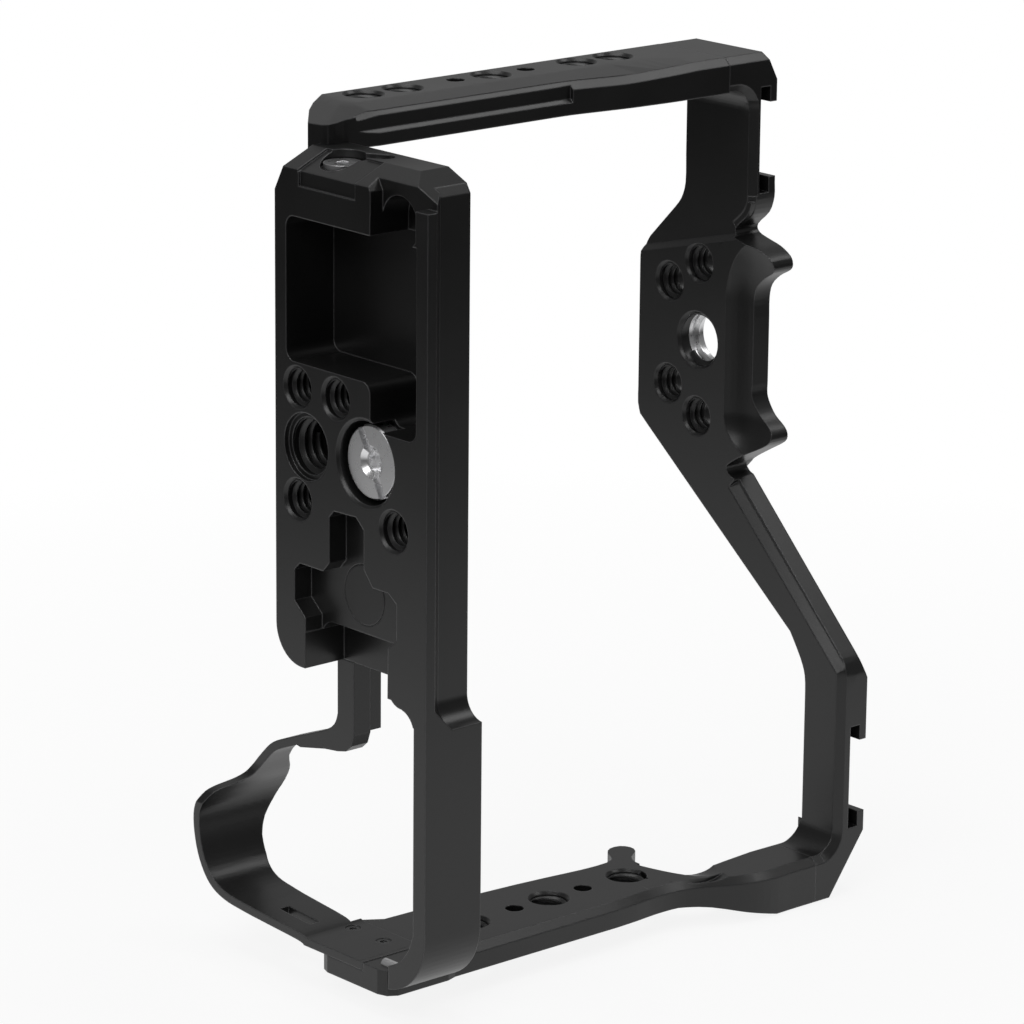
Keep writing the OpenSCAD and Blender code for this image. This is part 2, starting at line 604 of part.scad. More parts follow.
module grip_wrap() color(black) {
    difference() {
        union() {
            along_x(0, wrap_w + 5) band_outline();
            // front arm with its widened corner
            along_x(deep_x, plate_t) translate([28.2, -50.6])
                square([4.2, 50.6 - plate_dn - snug]);
            along_x(deep_x, plate_t) polygon([[28.2, -46], [32.4, -46], [32.4, -48.6],
                [34.2, -51], [39.3, -53.4], [45, -55.6], [42.3, -56.1], [35.7, -54.7],
                [32.4, -54.3], [30.3, -53.8], [28.9, -52.6], [28.2, -50.6]]);
            // floor that lies in the grip upright
            along_z(wrap_seat + eps, wrap_seat + wrap_t) translate([0, 15.7])
                square([wrap_w - 0.1, 15.6]);
        }
        // near edge: set back at the front arm, then falling to the foot face
        along_y(20, 64) polygon(concat([[-1, -30], [deep_x, -30]],
            smooth([[deep_x, -62], [deep_x - 0.4, -63.9], [6.6, -64.9], [4.6, -65.4],
                    [2.6, -65.8], [1, -66.6], [0, -68.6]], 3), [[-1, -68.6]]));
        // far edge: beside the grip upright, along the arm, then fuller at the turn
        along_y(10, 31.5) translate([wrap_w - 0.1, -95]) square([20, 37]);
        along_y(10, 64) polygon([[plate_t, -30], [plate_t, -50.8], [wrap_w, -51.2],
            [wrap_w, -58.5], [30, -58.5], [30, -30]]);
        along_y(31.4, 64) polygon(concat([[wrap_w, -50]],
            smooth([[wrap_w, -58], [13.6, -61], [15.8, -63.8], [17.3, -66.4], [17.5, -69],
                    [16.2, -71.4], [14.2, -74], [13, -77], [wrap_w, -80], [11.4, -83.2],
                    [10.2, -84.6]], 2), [[10.2, -95], [30, -95], [30, -50]]));
        // long window low in the front of the band
        along_z(-90, -80) translate([3.6, 34]) square([2, 8.2]);
        // screws of the upright and of the lug
        for (y = wrap_ys) {
            rod_z(wrap_x, y, -100, -70, tiny + clear);
            rod_z(wrap_x, y, wrap_seat + wrap_t - 0.8, -70, 1.35);
        }
        rod_x(9.5, plate_t + 1, arm_y, arm_zs[1], m2 + snug);
    }
}

// ---- Anti-twist lug inside the front arm ----
lug_x = plate_t + snug;
lug_seat = lug_x + 1.1;

module anti_twist_lug() color(black) {
    difference() {
        along_x(lug_x, lug_x + 2.4) polygon([[28.4, -50.4], [32, -50.4], [32, -33],
                                             [29.6, -33], [28.4, -34.6]]);
        for (z = arm_zs) {
            rod_x(plate_t, lug_x + 5, arm_y, z, m2 + clear);
            rod_x(lug_seat, lug_x + 5, arm_y, z, 1.55);
        }
    }
}

// ---- Captive camera screw and its small parts ----
head_x = seat_x - 0.5 - head_t;    // outer face of the screw head

module camera_screw() color(steel) translate([0, base_y, screw_z]) rotate([0, 90, 0])
    difference() {
        union() {
            translate([0, 0, head_x + 0.3]) cylinder(h = head_t - 0.4, r = head_r);
            translate([0, 0, head_x]) cylinder(h = 0.3 + eps, r1 = head_r - 0.3, r2 = head_r);
            translate([0, 0, seat_x - 0.7]) cylinder(h = plate_t - seat_x + 1, r = neck_r);
            translate([0, 0, plate_t + 0.2]) cylinder(h = stud_l - 0.7, r = quarter_r - 0.05);
            translate([0, 0, plate_t + stud_l - 0.5])
                cylinder(h = 0.5, r1 = quarter_r - 0.05, r2 = quarter_r - 0.55);
        }
        // slot and hexagon socket
        rotate([0, 0, -27]) {
            translate([-head_r - 1, -0.8, 0]) cube([2 * head_r + 2, 1.6, head_x + 1.3]);
            cylinder(h = head_x + 2.1, r = 1.8, $fn = 6);
            translate([0, 0, head_x - eps]) cylinder(h = 0.8, r1 = 2.75, r2 = 1.9);
        }
    }

module screw_washer() color(black) translate([seat_x - 0.55, base_y, screw_z])
    rotate([0, 90, 0]) difference() {
        cylinder(h = 0.5, r = head_r - 0.3);
        translate([0, 0, -1]) cylinder(h = 3, r = neck_r + clear);
    }

module screw_clip() color(steel) translate([ring_x, base_y, screw_z]) rotate([0, 90, 0])
    difference() {
        cylinder(h = 0.6, r = clip_r);
        translate([0, 0, -1]) cylinder(h = 3, r = neck_r + snug);
        translate([-1.5, 0, -1]) cube([3, 9, 3]);
    }

module tool_magnet() color(steel)
    rod_x(magnet_x - 0.05, magnet_x + 1.98, magnet_y, magnet_z, magnet_r);

module end_screw() color(steel) translate([end_x, end_y, end_floor]) rotate([180, 0, 0])
    cap_screw(m25, 6.5, 3.2, 1);

module end_pin() color(steel) {
    rod_z(pin_x, pin_y, end_floor - 4, end_floor + 1.1, 1.3);
    translate([pin_x, pin_y, end_floor + 1.1 - eps]) cylinder(h = 0.3, r1 = 1.3, r2 = 1);
}

// Steel thread sleeve in the middle hole of the pad, put in from the outside
module core_insert() color(steel) difference() {
    rod_x(in_x + core_d + snug, cage_h - 0.3, core_y, core_z, core_r);
    rod_x(in_x, cage_h + 1, core_y, core_z, three_r);
}

// ---- Fastener sets ----
module wrap_screws() color(steel) for (y = wrap_ys)
    translate([wrap_x, y, wrap_seat + wrap_t - 0.78]) rotate([180, 0, 0])
        cap_screw(tiny, 3.2, 1.3, 0.7);

module lug_screws() color(steel) for (z = arm_zs)
    translate([lug_seat, arm_y, z]) rotate([0, -90, 0]) cap_screw(m2, 3.3, 1.5, 1.1);

module foot_screw() color(steel)
    translate([foot_x, foot_y, foot_z]) rotate([90, 0, 0]) cap_screw(m25, 11, 2.25, 2);

module strip_pins() color(steel) for (x = strip_xs)
    rod_y(x, 6.3, 13.5, strip_cz, m2);

module port_joint_screws() color(steel) for (y = port_ys)
    translate([port_hx, y, port_cz]) rotate([0, -90, 0]) cap_screw(m25, 15, 2.25, 2.5);

module grip_joint_screws() color(steel) for (y = grip_ys)
    translate([grip_hx, y, grip_cz]) rotate([0, -90, 0]) cap_screw(m25, 12, 2.25, 1.6);

module port_dowel() color(steel)
    rod_x(seam_x - 5.5, seam_x + 3.2, port_dy, port_cz, m2);

module grip_dowel() color(steel)
    rod_x(seam_x - 5.5, seam_x + 2.4, grip_dy, grip_cz, m2);

place() base_plate();
place() port_upright();
place() grip_upright();
place() top_plate();
place() grip_wrap();
place() anti_twist_lug();
place() camera_screw();
place() screw_washer();
place() screw_clip();
place() tool_magnet();
place() end_screw();
place() end_pin();
place() core_insert();
place() wrap_screws();
place() lug_screws();
place() foot_screw();
place() strip_pins();
place() port_joint_screws();
place() grip_joint_screws();
place() port_dowel();
place() grip_dowel();
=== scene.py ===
"""Full camera cage: black anodised frame sections, a captive camera screw and small steel parts."""
import math

import bmesh
import bpy
from mathutils import Matrix, Vector


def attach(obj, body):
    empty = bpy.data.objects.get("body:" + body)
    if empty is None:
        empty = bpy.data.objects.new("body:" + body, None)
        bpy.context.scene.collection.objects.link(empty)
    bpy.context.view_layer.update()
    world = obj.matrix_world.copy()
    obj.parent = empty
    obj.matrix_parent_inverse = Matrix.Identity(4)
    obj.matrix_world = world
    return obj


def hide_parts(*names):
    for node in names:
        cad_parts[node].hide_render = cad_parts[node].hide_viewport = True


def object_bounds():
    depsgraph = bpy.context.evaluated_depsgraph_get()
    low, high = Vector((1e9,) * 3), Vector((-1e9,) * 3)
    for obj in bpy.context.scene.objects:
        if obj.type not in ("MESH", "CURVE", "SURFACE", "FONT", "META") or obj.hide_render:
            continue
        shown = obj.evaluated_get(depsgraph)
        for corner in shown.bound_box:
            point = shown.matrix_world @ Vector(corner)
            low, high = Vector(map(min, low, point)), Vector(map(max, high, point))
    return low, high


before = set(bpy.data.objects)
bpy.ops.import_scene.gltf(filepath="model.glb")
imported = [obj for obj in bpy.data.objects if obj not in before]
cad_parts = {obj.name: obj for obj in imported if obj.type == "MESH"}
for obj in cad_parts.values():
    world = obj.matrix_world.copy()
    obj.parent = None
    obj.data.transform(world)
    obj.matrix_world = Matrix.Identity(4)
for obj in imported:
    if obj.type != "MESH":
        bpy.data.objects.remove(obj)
cad_box = [list(c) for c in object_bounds()]
scene = bpy.context.scene

# ---- Camera ----
# A long lens, a little above the middle of the cage, looking at its foot face and its back.
# Its place is in metres, and its three turns are in degrees.
camera = bpy.data.objects.new("camera", bpy.data.cameras.new("camera"))
scene.collection.objects.link(camera)
scene.camera = camera
camera.data.sensor_width = 36
camera.data.lens = 173.73
camera.data.clip_start = 0.01
camera_place = (-0.53880, -0.60385, 0.29795)
heading, pitch_down, lean = 41.3435, 15.569, 0.5326
camera.matrix_world = (Matrix.Translation(camera_place)
                       @ Matrix.Rotation(math.radians(-heading), 4, "Z")
                       @ Matrix.Rotation(math.radians(90 - pitch_down), 4, "X")
                       @ Matrix.Rotation(math.radians(lean), 4, "Z"))


# ---- Studio ----
# A white work table in a dim white room, lit by two soft boxes, one overhead and a weak card
# behind. The camera sees table and room plain white; the table keeps the shadow of the cage.
# For gloss and bounced light the table carries a painted pool of light: white near the cage,
# dark further out.
def add(tree, kind, inputs=(), **settings):
    """A new node: settings first, then each input linked to a socket or set to a value."""
    node = tree.nodes.new(kind)
    for name, value in settings.items():
        setattr(node, name, value)
    for name, value in dict(inputs).items():
        if isinstance(value, bpy.types.NodeSocket):
            tree.links.new(value, node.inputs[name])
        else:
            node.inputs[name].default_value = value
    return node


def calc(tree, kind, a, b):
    """Two numbers put together by one operation."""
    return add(tree, "ShaderNodeMath", {0: a, 1: b}, operation=kind).outputs[0]


def ramp(tree, value, start, end, low, high, kind="LINEAR"):
    """A value that runs from low to high while the given one runs from start to end."""
    limits = {"Value": value, "From Min": start, "From Max": end, "To Min": low, "To Max": high}
    return add(tree, "ShaderNodeMapRange", limits, interpolation_type=kind).outputs["Result"]


def grey(tree, level):
    """A grey of the given level."""
    return add(tree, "ShaderNodeCombineColor", {c: level for c in ("Red", "Green", "Blue")}).outputs[0]


def blend(tree, share, a, b):
    """Colour a, with the given share of colour b."""
    colours = {"Factor": share, "A": a, "B": b}
    return add(tree, "ShaderNodeMix", colours, data_type="RGBA").outputs["Result"]


def seen_white(tree, plain, gloss_share):
    """How white a ray finds the surroundings: fully for the camera, in part for gloss and glass."""
    rays = add(tree, "ShaderNodeLightPath").outputs
    gloss = calc(tree, "MAXIMUM", rays["Is Glossy Ray"], rays["Is Transmission Ray"])
    share = calc(tree, "MULTIPLY", gloss, gloss_share)
    both = calc(tree, "MAXIMUM", rays["Is Camera Ray"], share)
    return ramp(tree, both, 0, 1, plain, 1)


world = bpy.data.worlds.new("dim room")
world.use_nodes = True
scene.world = world
sky = world.node_tree.nodes["Background"]
sky.inputs["Color"].default_value = (1, 1, 1, 1)
world.node_tree.links.new(seen_white(world.node_tree, 0.12, 0.09), sky.inputs["Strength"])


def table_top():
    """Painted pool of light: white near the cage and dark further out, as gloss and bounced light find it.
    """
    paper = bpy.data.materials.new("table top")
    paper.use_nodes = True
    tree = paper.node_tree
    place = add(tree, "ShaderNodeTexCoord").outputs["Object"]
    away = add(tree, "ShaderNodeVectorMath", {0: place}, operation="LENGTH").outputs["Value"]
    # painted pool of light: the table's colour fades with distance from the cage, standing in for lamp light
    # falling off
    painted_light_pool = grey(tree, ramp(tree, away, 0.12, 0.48, 0.93, 0.05, "SMOOTHSTEP"))
    shade = tree.nodes["Principled BSDF"]
    shade.inputs["Roughness"].default_value = 0.9
    tree.links.new(painted_light_pool, shade.inputs["Base Color"])
    camera_ray = add(tree, "ShaderNodeLightPath").outputs["Is Camera Ray"]
    # the camera sees plain white; gloss rays find the table glowing in the painted pool of light
    glow = add(tree, "ShaderNodeEmission", {"Color": blend(tree, camera_ray, painted_light_pool, (1, 1, 1, 1))})
    bare = ramp(tree, away, 0.08, 0.3, 0.88, 1)
    share = calc(tree, "MULTIPLY", seen_white(tree, 0, 0.85), bare)
    mix = add(tree, "ShaderNodeMixShader", {0: share, 1: shade.outputs[0], 2: glow.outputs[0]})
    tree.links.new(mix.outputs[0], tree.nodes["Material Output"].inputs["Surface"])
    return paper


table_half, table_drop = 6, 0.0003
table = bpy.data.meshes.new("table")
table.from_pydata([(x * table_half, y * table_half, -table_drop)
                   for x, y in ((-1, -1), (1, -1), (1, 1), (-1, 1))], [], [(0, 1, 2, 3)])
table.materials.append(table_top())
floor = bpy.data.objects.new("table", table)
scene.collection.objects.link(floor)


def soft_box(name, way, far, width, height, power):
    """A soft box at the distance far in the direction way, pointed at the middle of the cage."""
    lamp = bpy.data.lights.new(name, "AREA")
    lamp.shape = "RECTANGLE"
    lamp.size, lamp.size_y, lamp.energy = width, height, power
    box = bpy.data.objects.new(name, lamp)
    scene.collection.objects.link(box)
    box.location = Vector(way).normalized() * far + Vector((0, 0, 0.07))
    box.rotation_euler = (-Vector(way)).to_track_quat("-Z", "Y").to_euler()
    box.visible_camera = False


soft_box("right box", (0.55, -0.28, 0.79), 0.95, 0.55, 0.32, 1.5)
soft_box("left box", (-0.7, -0.25, 0.7), 1.3, 0.8, 0.6, 5)
soft_box("overhead box", (-0.05, 0.15, 1), 1.3, 0.9, 0.9, 6.5)
soft_box("back card", (0.5, 0.78, 0.42), 1.3, 1.7, 1.0, 0.8)


# ---- Base plate ----
# Milled from one bar of aluminium with its bent strip, bead-blasted and black anodised.
# The cutter leaves small rounded edges, which shine and are painted a little paler, partly as painted
# highlight; the holes in the foot face are tapped.
def anodised(name, tone, rough, edge_wear_and_highlight):
    """Black anodised metal: rounded edges, blasted grain, soft cloudiness, edges painted paler by rubbing
    and as painted highlight, dust.
    """
    stuff = bpy.data.materials.new(name)
    stuff.use_nodes = True
    tree = stuff.node_tree
    place = add(tree, "ShaderNodeTexCoord").outputs["Object"]
    cloud = add(tree, "ShaderNodeTexNoise", {"Vector": place, "Scale": 55, "Detail": 4}).outputs["Fac"]
    dye = grey(tree, ramp(tree, cloud, 0.3, 0.7, tone * 0.85, tone * 1.2))
    # edges, inward corners too, painted a little paler than the faces where the rounded normal leaves the
    # face's own: partly rubbing from use, partly painted highlight
    edge = add(tree, "ShaderNodeBevel", {"Radius": 0.00035}, samples=6).outputs["Normal"]
    face = add(tree, "ShaderNodeNewGeometry").outputs["Normal"]
    bend = add(tree, "ShaderNodeVectorMath", {0: edge, 1: face}, operation="DOT_PRODUCT")
    wear_and_highlight_mask = ramp(tree, bend.outputs["Value"], 0.985, 0.82, 0, edge_wear_and_highlight)
    # the pale edge colour: partly rubbing from use, partly painted highlight
    rubbed_and_highlit = blend(tree, wear_and_highlight_mask, dye, (0.16, 0.16, 0.165, 1))
    # specks of dust, in one cell of a few
    cells = add(tree, "ShaderNodeTexVoronoi", {"Vector": place, "Scale": 260}).outputs
    near = ramp(tree, cells["Distance"], 0.03, 0.045, 1, 0)
    few = ramp(tree, cells["Color"], 0.93, 0.94, 0, 1)
    dust = calc(tree, "MULTIPLY", calc(tree, "MULTIPLY", near, few), 0.35)
    skin = tree.nodes["Principled BSDF"]
    tree.links.new(blend(tree, dust, rubbed_and_highlit, (0.3, 0.29, 0.27, 1)), skin.inputs["Base Color"])
    tree.links.new(ramp(tree, cloud, 0, 1, rough - 0.04, rough + 0.05), skin.inputs["Roughness"])
    # blasted grain over the rounded edges
    grain = add(tree, "ShaderNodeTexNoise", {"Vector": place, "Scale": 2600, "Detail": 2})
    bump = add(tree, "ShaderNodeBump", {"Strength": 0.12, "Distance": 0.00003, "Normal": edge,
                                        "Height": grain.outputs["Fac"]})
    tree.links.new(bump.outputs["Normal"], skin.inputs["Normal"])
    return stuff


frame_black = anodised("black anodised", 0.009, 0.32, 0.5)
weld = 2e-6  # points closer than this are one
longest_edge = 0.0035  # longer edges are divided, so that faces shade evenly
sharp_from = math.radians(16)  # flatter corners shade smoothly


def dressed(node, cutters=(), added=(), finish=frame_black):
    """A copy of a CAD node with further milling cuts, even faces and sharp corners kept."""
    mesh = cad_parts[node].data.copy()
    shape = bmesh.new()
    shape.from_mesh(mesh)
    bmesh.ops.remove_doubles(shape, verts=shape.verts, dist=weld)
    shape.to_mesh(mesh)
    if cutters or added:
        blank = bpy.data.objects.new(node + "_blank", mesh)
        scene.collection.objects.link(blank)
        tools = []
        for operation, tool in ([("UNION", t) for t in added] + [("DIFFERENCE", t) for t in cutters]):
            tools.append(bpy.data.objects.new("tool", tool))
            scene.collection.objects.link(tools[-1])
            cut = blank.modifiers.new("cut", "BOOLEAN")
            cut.operation = operation
            cut.solver = "EXACT"
            cut.object = tools[-1]
        mesh = bpy.data.meshes.new_from_object(
            blank.evaluated_get(bpy.context.evaluated_depsgraph_get()))
        for used in tools + [blank]:
            bpy.data.objects.remove(used)
        shape.clear()
        shape.from_mesh(mesh)
        bmesh.ops.triangulate(shape, faces=shape.faces)
        bmesh.ops.remove_doubles(shape, verts=shape.verts, dist=weld)
    for turn in range(5):
        far = [e for e in shape.edges if e.calc_length() > longest_edge]
        bmesh.ops.subdivide_edges(shape, edges=far, cuts=1)
        bmesh.ops.triangulate(shape, faces=[f for f in shape.faces if len(f.verts) > 3])
        flat = [e for e in shape.edges if e.calc_face_angle(1) < 0.004]
        bmesh.ops.beautify_fill(shape, faces=shape.faces, edges=flat)
    for line in shape.edges:
        line.smooth = line.calc_face_angle(1) < sharp_from
    shape.to_mesh(mesh)
    shape.free()
    mesh.name = node + "_dressed"
    mesh.materials.clear()
    mesh.materials.append(finish)
    for face in mesh.polygons:
        face.use_smooth = True
    piece = bpy.data.objects.new(node + "_dressed", mesh)
    scene.collection.objects.link(piece)
    even = piece.modifiers.new("even faces", "WEIGHTED_NORMAL")
    even.keep_sharp = True
    even.weight = 60
    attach(piece, "frame")
    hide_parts(node)


dressed("base_plate")


def thread_tree():
    """Geometry Nodes: a thread ridge wound up and set on each point, for holes or for studs."""
    tree = bpy.data.node_groups.new("thread", "GeometryNodeTree")
    tree.interface.new_socket("Geometry", in_out="INPUT", socket_type="NodeSocketGeometry")
    for name, kind in (("Radius", "Float"), ("Height", "Float"), ("Pitch", "Float"),
                       ("Length", "Float"), ("Lean", "Vector"), ("Profile Turn", "Vector"),
                       ("Finish", "Material")):
        tree.interface.new_socket(name, in_out="INPUT", socket_type="NodeSocket" + kind)
    tree.interface.new_socket("Geometry", in_out="OUTPUT", socket_type="NodeSocketGeometry")
    given = add(tree, "NodeGroupInput").outputs
    # the winding, on which the ridge grows to its full height over the first turns
    turns = calc(tree, "DIVIDE", given["Length"], given["Pitch"])
    wind = add(tree, "GeometryNodeCurveSpiral",
               {"Resolution": 36, "Reverse": True, "Rotations": turns, "Height": given["Length"],
                "Start Radius": given["Radius"], "End Radius": given["Radius"]})
    upright = add(tree, "GeometryNodeSetCurveNormal", {0: wind.outputs[0]}, mode="Z_UP")
    along = add(tree, "GeometryNodeSplineParameter").outputs["Length"]
    full_from = calc(tree, "MULTIPLY", given["Radius"], 3.0)
    rise = ramp(tree, along, 0, full_from, 0.06, 1, "SMOOTHSTEP")
    swell = add(tree, "GeometryNodeSetCurveRadius", {"Curve": upright.outputs[0], "Radius": rise})
    # the profile of one ridge, with its foot on the wall
    ridge = add(tree, "GeometryNodeCurvePrimitiveQuadrilateral",
                {"Offset": 0, "Height": given["Height"],
                 "Bottom Width": calc(tree, "MULTIPLY", given["Pitch"], 0.86),
                 "Top Width": calc(tree, "MULTIPLY", given["Pitch"], 0.2)}, mode="TRAPEZOID")
    lift = add(tree, "ShaderNodeCombineXYZ", {"Y": calc(tree, "MULTIPLY", given["Height"], 0.5)})
    footed = add(tree, "GeometryNodeTransform",
                 {"Geometry": ridge.outputs[0], "Translation": lift.outputs[0]})
    turned = add(tree, "GeometryNodeTransform",
                 {"Geometry": footed.outputs[0], "Rotation": given["Profile Turn"]})
    size = add(tree, "GeometryNodeInputRadius")
    swept = add(tree, "GeometryNodeCurveToMesh",
                {"Curve": swell.outputs[0], "Profile Curve": turned.outputs[0],
                 "Scale": size.outputs[0], "Fill Caps": True})
    placed = add(tree, "GeometryNodeInstanceOnPoints",
                 {"Points": given["Geometry"], "Instance": swept.outputs[0],
                  "Rotation": given["Lean"]})
    whole = add(tree, "GeometryNodeRealizeInstances", {0: placed.outputs[0]})
    painted = add(tree, "GeometryNodeSetMaterial",
                  {"Geometry": whole.outputs[0], "Material": given["Finish"]})
    add(tree, "NodeGroupOutput", {0: painted.outputs[0]})
    return tree


thread = thread_tree()
axis_up = 92.9  # the lens axis above the underside


def spot(x, y, z):
    """A point given in millimetres from the foot face, the back and the lens axis."""
    low = cad_box[0]
    return Vector((low[0] + x / 1000, low[1] + y / 1000, low[2] + (z + axis_up) / 1000))


def cut_thread(name, starts, way, radius, pitch, length, finish=frame_black, slot="anodised",
               body="frame", stud=False):
    """Thread turns in holes that start at the given points and run along way, in millimetres."""
    points = bpy.data.meshes.new(name + "_starts")
    points.from_pydata([spot(*p) for p in starts], [], [])
    seed = bpy.data.objects.new(name + "_seed", points)
    scene.collection.objects.link(seed)
    wound = seed.modifiers.new("thread", "NODES")
    wound.node_group = thread
    sunk = 0.04  # how deep the ridge's foot lies in the wall
    values = {"Radius": (radius - sunk if stud else radius + sunk) / 1000,
              "Height": pitch * 0.52 / 1000, "Pitch": pitch / 1000, "Length": length / 1000,
              "Lean": tuple(Vector(way).to_track_quat("Z", "Y").to_euler()),
              "Profile Turn": (0, 0, math.radians(-90 if stud else 90)), "Finish": finish}
    for socket in thread.interface.items_tree:
        if socket.in_out == "INPUT" and socket.name in values:
            wound[socket.identifier] = values[socket.name]
    seen = seed.evaluated_get(bpy.context.evaluated_depsgraph_get())
    mesh = bpy.data.meshes.new_from_object(seen)
    bpy.data.objects.remove(seed)
    mesh.name = name
    for face in mesh.polygons:
        face.use_smooth = True
    mesh.set_sharp_from_angle(angle=math.radians(30))
    piece = bpy.data.objects.new(name, mesh)
    scene.collection.objects.link(piece)
    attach(piece, body)


# radius and pitch of the quarter-inch and the three-eighths holes
quarter_inch = (3.175, 1.27)
three_eighths = (4.763, 1.5875)
mouth = 0.7  # depth of a hole's chamfer, at the foot of which the thread starts
cut_thread("foot_threads", [(mouth, y, z) for y, z in ((32.5, 9.4), (22.8, 9.4), (32.5, -9.4), (8.2, -9.6))],
           (1, 0, 0), *quarter_inch, 6.2)
cut_thread("foot_thread_large", [(1.4, 30.3, -0.1)], (1, 0, 0), *three_eighths, 4.8)


# ---- Port upright ----
# A milled bar with five tapped holes; its foot stands in front of the base plate's corner.
# Its outer back edge is bevelled along its whole run, over a face that falls to that edge.
def closed_shell(rings):
    """A closed mesh through rings of points, each ring in millimetres."""
    shape = bmesh.new()
    rows = [[shape.verts.new(spot(*p)) for p in ring] for ring in rings]
    for near, far in zip(rows, rows[1:]):
        for i in range(len(near)):
            j = (i + 1) % len(near)
            shape.faces.new((near[i], near[j], far[j], far[i]))
    shape.faces.new(rows[0][::-1])
    shape.faces.new(rows[-1])
    bmesh.ops.recalc_face_normals(shape, faces=shape.faces)
    mesh = bpy.data.meshes.new("cutter")
    shape.to_mesh(mesh)
    shape.free()
    return mesh


def bevel_rings(path, flat, side, leg, fall=None):
    """Outlines of a cutter along an edge: leg across the face that looks along flat, fall down."""
    fall = fall or leg
    path, flat, rings = [Vector(p) for p in path], Vector(flat), []
    for i, p in enumerate(path):
        before = p - path[i - 1] if i else path[1] - p
        after = path[i + 1] - p if i < len(path) - 1 else before
        out = [flat.cross(v.normalized()).normalized() * side for v in (before, after)]
        mitre = (out[0] + out[1]).normalized()
        mitre = mitre / max(0.5, mitre.dot(out[0]))
        rings.append([p - mitre * leg, p - flat * fall, p + mitre * leg * 1.5, p + flat * fall * 1.5])
    return rings


def bevel_cutter(path, flat, side, leg, fall=None):
    """A milling cutter run along an edge."""
    return closed_shell(bevel_rings(path, flat, side, leg, fall))


def smooth_run(points, steps):
    """A smooth curve through the points."""
    last, run = len(points) - 1, []
    for i in range(last):
        four = [points[max(0, min(last, i + k))] for k in (-1, 0, 1, 2)]
        for k in range(steps):
            t = k / steps
            run.append([0.5 * (2 * q + (r - p) * t + (2 * p - 5 * q + 4 * r - e) * t * t
                               + (3 * q - p - 3 * r + e) * t ** 3) for p, q, r, e in zip(*four)])
    return run + [list(points[last])]


edge_leg = 1.3  # leg of the long bevels
port_out = 53.1  # outer face
fall_depth = 0.75  # how far the outer face falls at its back edge
fall_full, fall_none = 70, 86  # along the bar: the fall is whole up to here and gone from here on
fall_back, fall_front = 29.7, 39.2  # across the bar
port_edge = [(13, 33.2), (15, 33), (17.5, 32.7)] + smooth_run(
    [(53.4, 32.7), (59, 32.6), (64.4, 31.9), (71, 31), (76.4, 30.6), (82, 30.3), (94, 30.3)], 3)


def port_rim(x, y):
    """Height of the outer face at its back edge, where it falls a little."""
    share = 1 if x < fall_full else max(0, (fall_none - x) / (fall_none - fall_full))
    return port_out - share * fall_depth * (fall_front - y) / (fall_front - fall_back)


fade = closed_shell([[(x, fall_back, port_out - fall), (x, fall_front, port_out),
                      (x, fall_front, port_out + 1.9), (x, fall_back, port_out + 1.9)]
                     for x, fall in ((fall_full, fall_depth), (fall_none, 0))])
rim_bevel = bevel_cutter([(x, y, port_rim(x, y)) for x, y in port_edge], (0, 0, 1), -1, edge_leg)
dressed("port_upright", [fade, rim_bevel])
port_middle = 51.35
cut_thread("port_threads", [(port_middle + s, 44.4, port_out - mouth)
                            for s in (-27.7, -19.3, 0, 19.3, 27.7)], (0, 0, -1), *quarter_inch, 4.6)


# ---- Grip upright ----
# A slim, waisted bar that the base strip, the wrap and the top plate are fixed to.
# Its inner back edge is bevelled, and a round cutter hollows the waist towards the front.
def round_cutter(middle, way, radius, reach, steps=64):
    """A round cutter about an axis through middle, given in millimetres."""
    axis = Vector(way).normalized()
    side = axis.orthogonal().normalized()
    across = axis.cross(side)
    turns = [math.tau * i / steps for i in range(steps)]
    return closed_shell([[Vector(middle) + axis * far + radius * (side * math.cos(t)
                                                                 + across * math.sin(t))
                          for t in turns] for far in (-reach, reach)])


grip_in = -84.9  # inner face
grip_middle, grip_step, grip_hole_y = 44.1, 17.9, 19.3  # places of the tapped holes
grip_edge = [(13.6, 9.4, grip_in), (15, 9.8, grip_in)] + [(x, y, grip_in) for x, y in smooth_run(
    [(51.4, 9.8), (56, 10), (61, 10.4), (66, 10.2), (70, 9), (74, 6.9), (78, 5.1), (82.4, 4.3),
     (95, 4.3)], 3)]
# the hollow of the blank is filled to the inner face, clear of the last tapped hole
beside_hole = [(grip_middle + grip_step + 3.6 * math.cos(math.radians(a)),
                grip_hole_y + 3.6 * math.sin(math.radians(a))) for a in range(-55, 81, 9)]
waist = [(64.5, 11.5), (63.4, 14.2)] + beside_hole + [
    (60.8, 23.9), (67.7, 23.9), (68.1, 20), (69.8, 16.6), (72.5, 14.2), (76, 13.3), (79, 13.5),
    (79, 9.5), (72, 9.5)]
patch = closed_shell([[(x, y, z) for x, y in waist] for z in (grip_in - 3.1, grip_in)])
hollow = round_cutter((73.5, 15.8, -76.8), (0, -0.978, 0.208), 9.2, 8)
dressed("grip_upright", [hollow, bevel_cutter(grip_edge, (0, 0, 1), -1, edge_leg)], [patch])
cut_thread("grip_threads", [(grip_middle + s * grip_step, grip_hole_y, grip_in - mouth)
                            for s in (-1, 0, 1)], (0, 0, -1), *quarter_inch, 2.9)


# ---- Top plate ----
# Milled plate with two shoes, the drilled pad, two ears and the diagonal arm. Its middle hole
# carries a steel thread sleeve. The inner back edges of its neck and its elbows are bevelled.
def quarter(x, z, dx, dz, radius=4, steps=8):
    """A quarter round that leaves x, z along x and ends one radius along both ways."""
    turns = [math.pi / 2 * i / steps for i in range(steps + 1)]
    return [(x + radius * math.sin(t) * dx, z + radius * (1 - math.cos(t)) * dz) for t in turns]


plate_in, neck_in = 98.5, 99.4  # inner faces of the plate and of its neck
port_in = 47  # inner face at the port side
neck_y, grip_y = 30.3, 4.3  # back faces at the port side and beside the grip
neck_leg = 1.25
